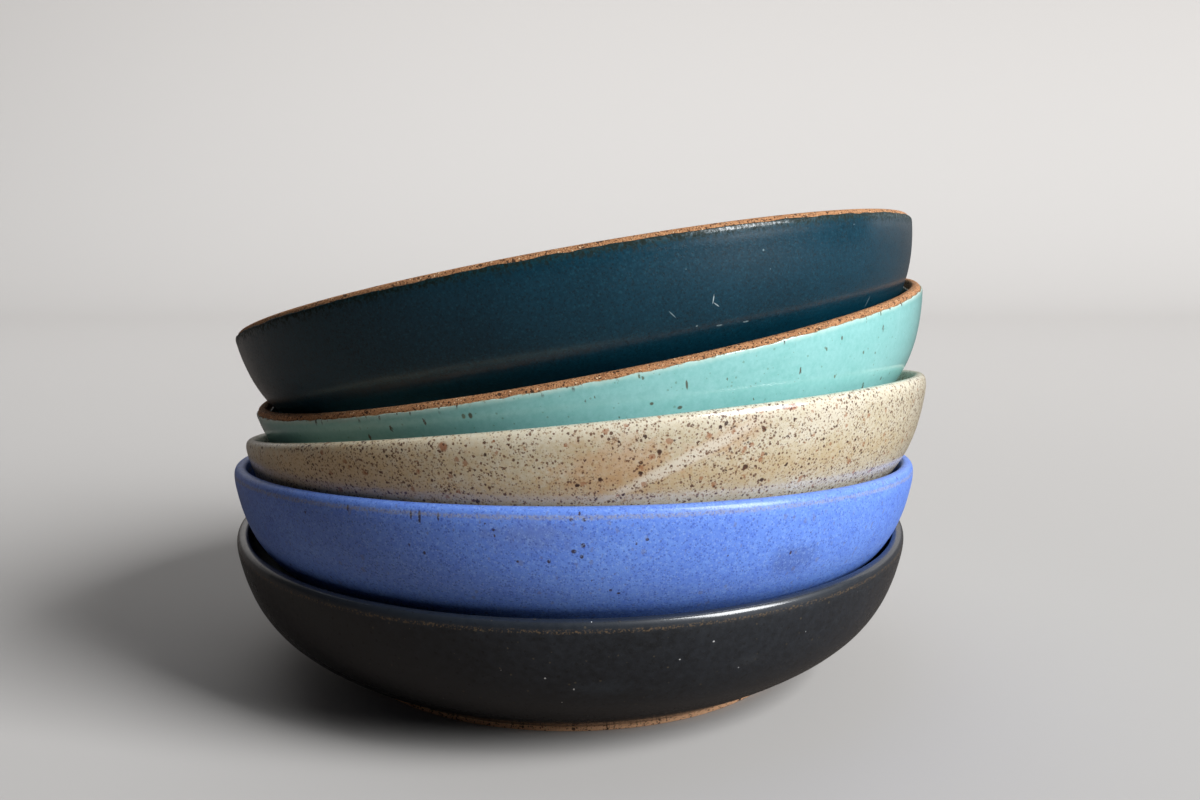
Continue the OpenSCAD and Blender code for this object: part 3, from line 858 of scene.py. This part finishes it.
# What every glaze shares: gather is where the broad mottle thins and crowds the flecks, pit the relief of a
# fleck, edge the shares of its reach over which the dry edge fades, dryRough and dryCoat what dryness adds
glazeLook = {
    "broadContrast": 1.8, "fineContrast": 3.2, "grainSize": 0.45, "bandRagged": 0.3, "markRough": 2.2,
    "breakRough": 0.15, "gather": (0.15, 0.85), "fleckSoft": 0.4, "fleckRagged": 0.7, "fleckRough": 0.12,
    "pit": -0.02, "edge": (1.3, 0.5), "edgeStrength": 0.85, "speckStart": 0.2,
    "dryRough": 0.45, "dryCoat": -0.8, "coatIndex": 1.6,
}


def mottled(tree, place, size, contrast, detail, seed):
    wires = {"Place": place, "Size": size, "Contrast": contrast, "Detail": detail, "Seed": seed}
    return use(tree, "mottle", wires)[0]


def fleckLayer(tree, place, fleck, seed, share):
    size = fleck["size"]
    wires = {"Place": place, "Cell": fleck["cell"], "Size": size, "Share": share, "Seed": seed,
             "Soft": size * glazeLook["fleckSoft"], "Ragged": size * glazeLook["fleckRagged"],
             "Drawn": fleck.get("drawn", 1.0)}
    return use(tree, "flecks", wires)["Mask"]


def rimBreak(tree, line, inputs, look, seed, extra):
    # the group rimBreak at a height below the crest, which it takes as a distance along the outside
    drop = line["crest"] - distanceAt(line, bowlForm["height"] - look["below"], True)
    wires = {"Place": inputs[0], "Distance": inputs[1], "Drop": drop, "Width": look["width"], "Seed": seed}
    return use(tree, "rimBreak", {**wires, **extra})


def markColours(tree, bowl, inputs, colour):
    # the marks, and the spots as small marks of one colour
    rough = mottled(tree, inputs[0], glazeLook["markRough"], 1.0, 5.0, bowl["seed"] + 2)
    look = bowl["spots"]
    spots = [{"at": spot[:2], "size": spot[2:], "colour": look["colour"], "strength": look["strength"]}
             for spot in look["places"]]
    for mark in bowl["marks"] + spots:
        wires = {"Place": inputs[0], "Distance": inputs[1], "Bearing": mark["at"][0], "Down": mark["at"][1],
                 "Width": mark["size"][0], "Height": mark["size"][1], "Turn": mark.get("turn", 0.0),
                 "Rough": rough, "Ragged": mark.get("ragged", 0.2), "Soft": mark.get("soft", 0.3)}
        mask = calc(tree, "MULTIPLY", use(tree, "markAt", wires)[0], mark["strength"])
        colour = blended(tree, mask, colour, linear(mark["colour"]))
    return colour


def edgeColours(tree, bowl, inputs, fine, colour):
    # the darker, dry edge of the glaze and the specks beside it; also says how dry the surface is
    edge, specks, fromEdge = bowl["edge"], bowl["edgeSpecks"], inputs[2]
    reach = edge["reach"]
    ragged = calc(tree, "MULTIPLY_ADD", fine, reach, fromEdge)
    dry = spread(tree, ragged, *(reach * share for share in glazeLook["edge"]))
    strength = calc(tree, "MULTIPLY", dry, glazeLook["edgeStrength"])
    colour = blended(tree, strength, colour, linear(edge["colour"]))
    if specks:
        near = spread(tree, fromEdge, specks["reach"], glazeLook["speckStart"])
        layer = fleckLayer(tree, inputs[0], specks, bowl["seed"] + 20, specks["share"])
        near = calc(tree, "MULTIPLY", near, layer)
        colour = blended(tree, near, colour, linear(specks["colour"]))
        dry = calc(tree, "MAXIMUM", dry, near)
    return colour, dry


def glazeMaterial(bowl, line):
    material, tree, shader = newMaterial(bowl["name"] + "Glaze")
    inputs = surfaceInputs(tree)
    place, seed, look = inputs[0], bowl["seed"], glazeLook
    broad = mottled(tree, place, bowl["broad"], look["broadContrast"], 3.0, seed)
    fine = mottled(tree, place, bowl["fine"], look["fineContrast"], 5.0, seed + 1)
    tone = calc(tree, "MULTIPLY_ADD", fine, 0.5, calc(tree, "MULTIPLY", broad, 0.5))
    colour = blended(tree, tone, linear(bowl["deep"]), linear(bowl["light"]))
    roughness = calc(tree, "MULTIPLY_ADD", fine, bowl["vary"], bowl["roughness"] - bowl["vary"] / 2)
    wires = {"Place": place, "Peel Size": bowl["peelSize"], "Peel Depth": bowl["peel"],
             "Grain Size": look["grainSize"], "Grain Depth": bowl["grain"], "Seed": seed}
    height = use(tree, "firedSkin", wires)[0]

    # the rim band: the thin glaze's colour, and on the black and turquoise bowls a painted sheen
    band = bowl["band"]
    thin = rimBreak(tree, line, inputs, band, seed, {"Ragged": look["bandRagged"]})["Thin Rim Sheen"]
    colour = blended(tree, calc(tree, "MULTIPLY", thin, band["strength"]), colour, linear(band["colour"]))
    colour = markColours(tree, bowl, inputs, colour)
    dotted = bowl["line"]
    if dotted:
        extra = {"Ragged": dotted["ragged"], "Dotted": dotted["dotted"]}
        dots = rimBreak(tree, line, inputs, dotted, seed + 2, extra)["Line"]
        share = calc(tree, "MULTIPLY", dots, dotted["strength"])
        colour = blended(tree, share, colour, linear(dotted["colour"]))
        roughness = calc(tree, "MULTIPLY_ADD", dots, look["breakRough"], roughness)
    gathered = spread(tree, broad, *look["gather"], -1.0, 1.0)
    for number, fleck in enumerate(bowl["flecks"], 3):
        cluster = fleck.get("cluster", 0.0) * fleck["share"]
        share = calc(tree, "MULTIPLY_ADD", gathered, cluster, fleck["share"])
        layer = fleckLayer(tree, place, fleck, seed + number, share)
        strength = calc(tree, "MULTIPLY", layer, fleck["strength"])
        colour = blended(tree, strength, colour, linear(fleck["colour"]))
        roughness = calc(tree, "MULTIPLY_ADD", strength, look["fleckRough"], roughness)
        height = calc(tree, "MULTIPLY_ADD", strength, look["pit"], height)
    colour, dry = edgeColours(tree, bowl, inputs, fine, colour)
    roughness = calc(tree, "MULTIPLY_ADD", dry, look["dryRough"], roughness)
    coat = calc(tree, "MULTIPLY_ADD", dry, look["dryCoat"] * bowl["coat"], bowl["coat"])

    tree.links.new(colour, shader.inputs["Base Color"])
    tree.links.new(roughness, shader.inputs["Roughness"])
    tree.links.new(coat, shader.inputs["Coat Weight"])
    shader.inputs["Specular IOR Level"].default_value = bowl["specular"]
    shader.inputs["Coat Roughness"].default_value = bowl["coatRoughness"]
    shader.inputs["Coat IOR"].default_value = look["coatIndex"]
    bumped(tree, height, shader)
    return material


for build in (buildFlecks, buildMottle, buildRimBreak, buildSkin, buildMark, buildThrownForm):
    build()
bareClay = clayMaterial()
print("materials and trees built")


# The bowls, from the lowest up

def addBowl(bowl):
    name = bowl["name"]
    print(name, "bowl")
    bowl["place"], bowl["tilt"] = bowlPlace(name + "_clay_body")
    line = finishedLine(bowl["lean"])
    glaze = glazeMaterial(bowl, line)
    clay = claySection(line, bowl["bareRim"] > 0)
    turnedPiece(name + "ClayBody", clay, bowl, bareClay, name + "_clay_body")
    start, end = line["at"][0], line["at"][-1]
    height = bowlForm["height"]
    if bowl["bareRim"]:
        rim = round(distanceAt(line, height - bowl["bareRim"], True), 4)
        lip = round(distanceAt(line, height - coatForm["bareLip"], False), 4)
        coats = [("OuterGlaze", "_outer_glaze", start, rim, (start, rim)),
                 ("InnerGlaze", "_inner_glaze", lip, end, (lip,))]
    else:
        coats = [("GlazeCoat", "_glaze_coat", start, end, (start,))]
    for title, node, first, last, edges in coats:
        section = coatSection(line, first, last, edges)
        turnedPiece(name + title, section, bowl, glaze, name + node)


for bowl in bowls:
    addBowl(bowl)


# Studio: a plain pale floor and backdrop, a large soft light to the right and weak fills.
# The paper bounces browner light and mirrors darker than it looks, which the glazes' colours depend on.

studio = {
    "front": 3200, "back": 900, "halfWidth": 3200, "bend": 500, "wall": 1900, "bendSteps": 60,
    "colour": (184, 181, 178), "bounce": (144, 130, 118), "mirrored": (70, 63, 58), "roughness": 0.8,
    "fill": (0.78, 0.84, 1.0), "fillStrength": 0.03, "seen": (0.62, 0.62, 0.63),
}
# from is degrees right of the camera's side, degrees up and the distance
lights = [
    {"name": "window", "from": (60, 33, 5200), "size": (2400, 3300), "watts": 496,
     "tint": (0.97, 0.985, 1.0)},
    {"name": "ceiling", "from": (215, 66, 1500), "size": (1300, 1300), "watts": 3.5,
     "tint": (0.94, 0.97, 1.0)},
    {"name": "wallWash", "from": (205, 60, 1100), "facing": (175, 25), "size": (1400, 500), "watts": 6,
     "tint": (0.97, 0.98, 1.0)},
]


def paperMaterial():
    # pale to the camera, and above the bend to every ray
    paper, tree, shader = newMaterial("palePaper")
    path = put(tree, "ShaderNodeLightPath").outputs
    high = parts(tree, put(tree, "ShaderNodeTexCoord").outputs["Object"])[2]
    pale = calc(tree, "MAXIMUM", path["Is Camera Ray"], spread(tree, high, 0.0, studio["bend"] * mm))
    colour = blended(tree, path["Is Glossy Ray"], linear(studio["bounce"]), linear(studio["mirrored"]))
    colour = blended(tree, pale, colour, linear(studio["colour"]))
    tree.links.new(colour, shader.inputs["Base Color"])
    shader.inputs["Roughness"].default_value = studio["roughness"]
    return paper


def addBackdrop():
    # one sweep of paper: floor, bend and wall
    back, radius = studio["back"], studio["bend"]
    turn = np.linspace(0, math.pi / 2, studio["bendSteps"] + 1)
    bend = [(back + radius * math.sin(a), radius * (1 - math.cos(a))) for a in turn]
    line = [(-studio["front"], 0.0), *bend, (back + radius, studio["wall"])]
    points = [(side * studio["halfWidth"] * mm, y * mm, z * mm) for y, z in line for side in (-1, 1)]
    faces = [(2 * i, 2 * i + 1, 2 * i + 3, 2 * i + 2) for i in range(len(line) - 1)]
    mesh = bpy.data.meshes.new("studioSweep")
    mesh.from_pydata(points, [], faces)
    mesh.polygons.foreach_set("use_smooth", [True] * len(faces))
    mesh.materials.append(paperMaterial())
    sweep = bpy.data.objects.new("studioSweep", mesh)
    bpy.context.collection.objects.link(sweep)


def bearing(right, up):
    # a direction from the stack, in degrees right of the camera's side and up from the floor
    right, up = math.radians(right), math.radians(up)
    return Vector((math.sin(right) * math.cos(up), -math.cos(right) * math.cos(up), math.sin(up)))


def addLight(recipe):
    # a soft light that faces the stack, or the way that facing says, as degrees right and down
    data = bpy.data.lights.new(recipe["name"], "AREA")
    data.shape = "RECTANGLE"
    data.size, data.size_y = recipe["size"][0] * mm, recipe["size"][1] * mm
    data.energy = recipe["watts"]
    data.color = recipe["tint"]
    light = bpy.data.objects.new(recipe["name"], data)
    bpy.context.collection.objects.link(light)
    right, up, away = recipe["from"]
    light.location = Vector((0, 0, cadBox[1][2] / 2)) + bearing(right, up) * away * mm
    facing = recipe.get("facing")
    backwards = -bearing(facing[0], -facing[1]) if facing else bearing(right, up)
    light.rotation_euler = backwards.to_track_quat("Z", "Y").to_euler()


def addSky():
    # a dim fill for the bowls, and a pale ground where a side or back view looks past the backdrop
    world = bpy.data.worlds.new("roomFill")
    bpy.context.scene.world = world
    world.use_nodes = True
    tree = world.node_tree
    dim = (*[value * studio["fillStrength"] for value in studio["fill"]], 1.0)
    seen = put(tree, "ShaderNodeLightPath").outputs["Is Camera Ray"]
    sky = blended(tree, seen, dim, (*studio["seen"], 1.0))
    tree.links.new(sky, tree.nodes["Background"].inputs["Color"])


addBackdrop()
for recipe in lights:
    addLight(recipe)
addSky()
bpy.context.scene.view_settings.view_transform = "Standard"
print("studio lit")
